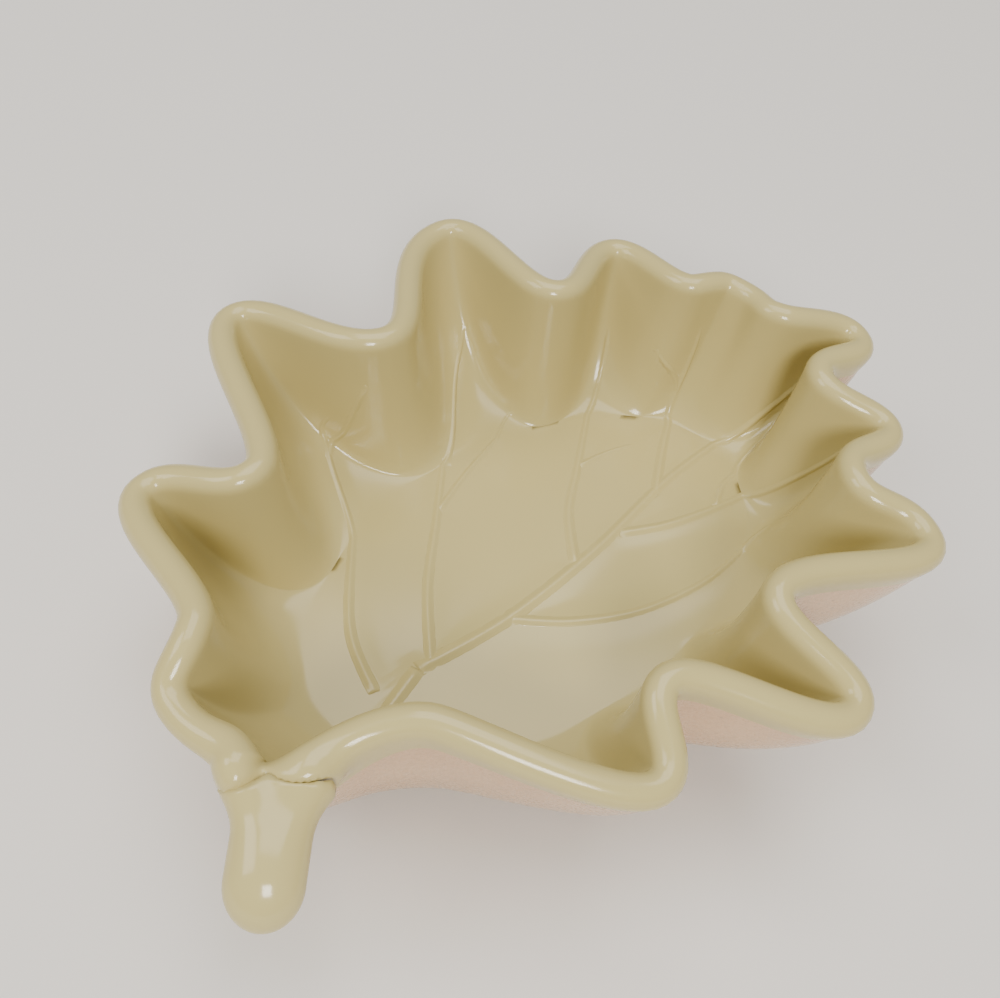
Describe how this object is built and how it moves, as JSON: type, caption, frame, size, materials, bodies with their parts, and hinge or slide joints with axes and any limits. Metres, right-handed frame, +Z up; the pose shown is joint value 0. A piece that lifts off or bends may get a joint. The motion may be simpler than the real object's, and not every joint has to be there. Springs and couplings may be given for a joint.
{
  "type": "leaf-shaped ring dish",
  "caption": "Small leaf-shaped dish with a lobed rounded lip, raised veins, a short stalk handle and a foot ring, for rings and trinkets.",
  "frame": {"origin": "centre of the foot ring, on the surface that the dish stands on", "axes": "+Z up out of the bowl, +Y along the leaf from its stalk to its tip, +X to the right seen from above"},
  "size_m": [0.1216, 0.1455, 0.0385],
  "materials": {
    "green_glaze": "glossy sage-green glaze, thin and paler over edges",
    "clear_clay": "warm buff earthenware under a thin clear gloss",
    "bare_clay": "bare fired buff earthenware, matt"
  },
  "bodies": {
    "root": {"leaf_body": "clear_clay", "glaze_coat": "green_glaze", "stalk_handle": "green_glaze", "foot_ring": "bare_clay", "midrib": "green_glaze", "vein_left_1": "green_glaze", "vein_left_2": "green_glaze", "vein_left_3": "green_glaze", "vein_left_4": "green_glaze", "vein_right_1": "green_glaze", "vein_right_2": "green_glaze"}
  },
  "joints": []
}
